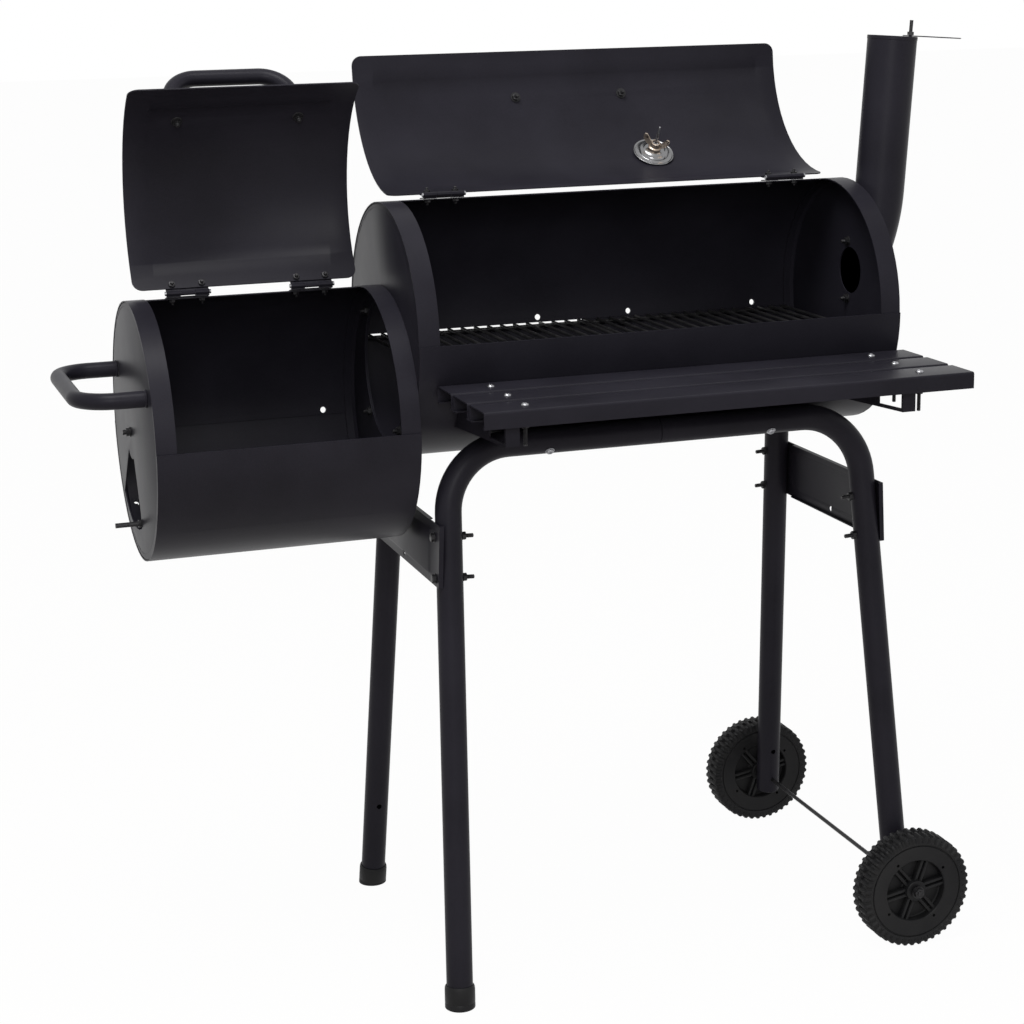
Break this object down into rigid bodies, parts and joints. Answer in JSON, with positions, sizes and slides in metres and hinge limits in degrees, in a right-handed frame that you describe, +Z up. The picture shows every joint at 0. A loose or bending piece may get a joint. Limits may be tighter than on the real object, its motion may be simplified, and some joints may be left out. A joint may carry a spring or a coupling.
{
  "type": "offset smoker",
  "caption": "Barrel smoker with a lower offset firebox, hinged lids, chimney with swivel cap, slatted front shelf and a tube stand on two wheels.",
  "frame": {"origin": "centre of the bounding box's base, on the ground", "axes": "+X along the barrels towards the chimney, +Y to the back, +Z up"},
  "size_m": [1.1326, 0.5732, 1.1263],
  "materials": {
    "black_steel": "satin black powder coat",
    "grate_wire": "black enamelled wire",
    "dark_bolt": "blackened steel",
    "bright_steel": "zinc plated",
    "chrome": "polished",
    "brass": "plain",
    "dial": "printed with plain ticks",
    "black_plastic": "moulded"
  },
  "bodies": {
    "stand": {"main_upper_shell": "black_steel", "main_lower_shell": "black_steel", "main_left_end_cap": "black_steel", "main_right_end_cap": "black_steel", "firebox_upper_shell": "black_steel", "firebox_lower_shell": "black_steel", "firebox_left_end_cap": "black_steel", "firebox_right_end_cap": "black_steel", "air_damper_pivot_bolt": "dark_bolt", "firebox_side_handle": "black_steel", "main_hinge_left_fixed_leaf": "black_steel", "main_hinge_left_pin": "bright_steel", "main_hinge_right_fixed_leaf": "black_steel", "main_hinge_right_pin": "bright_steel", "firebox_hinge_left_fixed_leaf": "black_steel", "firebox_hinge_left_pin": "bright_steel", "firebox_hinge_right_fixed_leaf": "black_steel", "firebox_hinge_right_pin": "bright_steel", "chimney_tube": "black_steel", "chimney_cap_bolt": "dark_bolt", "front_leg_frame_left": "black_steel", "front_leg_frame_right": "black_steel", "back_leg_frame_left": "black_steel", "back_leg_frame_right": "black_steel", "leg_bracket_left": "black_steel", "leg_bracket_right": "black_steel", "foot_cap_front": "black_plastic", "foot_cap_back": "black_plastic", "axle": "dark_bolt", "front_axle_nut": "dark_bolt", "back_axle_nut": "dark_bolt", "shelf_slat_back": "black_steel", "shelf_slat_middle": "black_steel", "shelf_slat_front": "black_steel", "shelf_bracket_left": "black_steel", "shelf_bracket_right": "black_steel"},
    "chamber_lid": {"main_lid": "black_steel", "main_lid_handle": "black_steel", "thermometer_case": "bright_steel", "thermometer_dial": "dial", "thermometer_back_plate": "chrome", "thermometer_wing_nut": "brass", "main_hinge_left_lid_leaf": "black_steel", "main_hinge_right_lid_leaf": "black_steel"},
    "fuel_lid": {"firebox_lid": "black_steel", "firebox_lid_handle": "black_steel", "firebox_hinge_left_lid_leaf": "black_steel", "firebox_hinge_right_lid_leaf": "black_steel"},
    "rain_cap": {"chimney_cap": "black_steel"},
    "air_damper": {"air_damper_plate": "black_steel", "air_damper_finger_bolt": "dark_bolt"},
    "wheel_front": {"front_wheel": "black_plastic"},
    "wheel_back": {"back_wheel": "black_plastic"},
    "grate_left": {"cooking_grate_left": "grate_wire"},
    "grate_right": {"cooking_grate_right": "grate_wire"},
    "grate_coal": {"charcoal_grate": "grate_wire"}
  },
  "joints": [
    {"name": "chamber_lid_hinge", "type": "hinge", "parent": "stand", "child": "chamber_lid", "pos_m": [0.1215, 0.03676, 0.93991], "axis": [1, 0, 0], "range_deg": [0, 180]},
    {"name": "fuel_lid_hinge", "type": "hinge", "parent": "stand", "child": "fuel_lid", "pos_m": [-0.33235, 0.06358, 0.83861], "axis": [1, 0, 0], "range_deg": [0, 118]},
    {"name": "rain_cap_swivel", "type": "hinge", "parent": "stand", "child": "rain_cap", "pos_m": [0.50035, 0.01136, 1.10619], "axis": [0.0732, 0, 0.9973], "continuous": true},
    {"name": "air_damper_swivel", "type": "hinge", "parent": "stand", "child": "air_damper", "pos_m": [-0.48335, 0.05936, 0.6805], "axis": [1, 0, 0], "range_deg": [0, 59.8]},
    {"name": "front_wheel_spin", "type": "hinge", "parent": "stand", "child": "wheel_front", "pos_m": [0.41428, -0.19734, 0.073], "axis": [0, 1, 0], "continuous": true},
    {"name": "back_wheel_spin", "type": "hinge", "parent": "stand", "child": "wheel_back", "pos_m": [0.41428, 0.26056, 0.073], "axis": [0, 1, 0], "continuous": true},
    {"name": "grate_left_lift", "type": "slide", "parent": "stand", "child": "grate_left", "axis": [0, 0, 1], "range_m": [0, 0.045]},
    {"name": "grate_right_lift", "type": "slide", "parent": "stand", "child": "grate_right", "axis": [0, 0, 1], "range_m": [0, 0.045]},
    {"name": "grate_coal_lift", "type": "slide", "parent": "stand", "child": "grate_coal", "axis": [0, 0, 1], "range_m": [0, 0.03]}
  ]
}
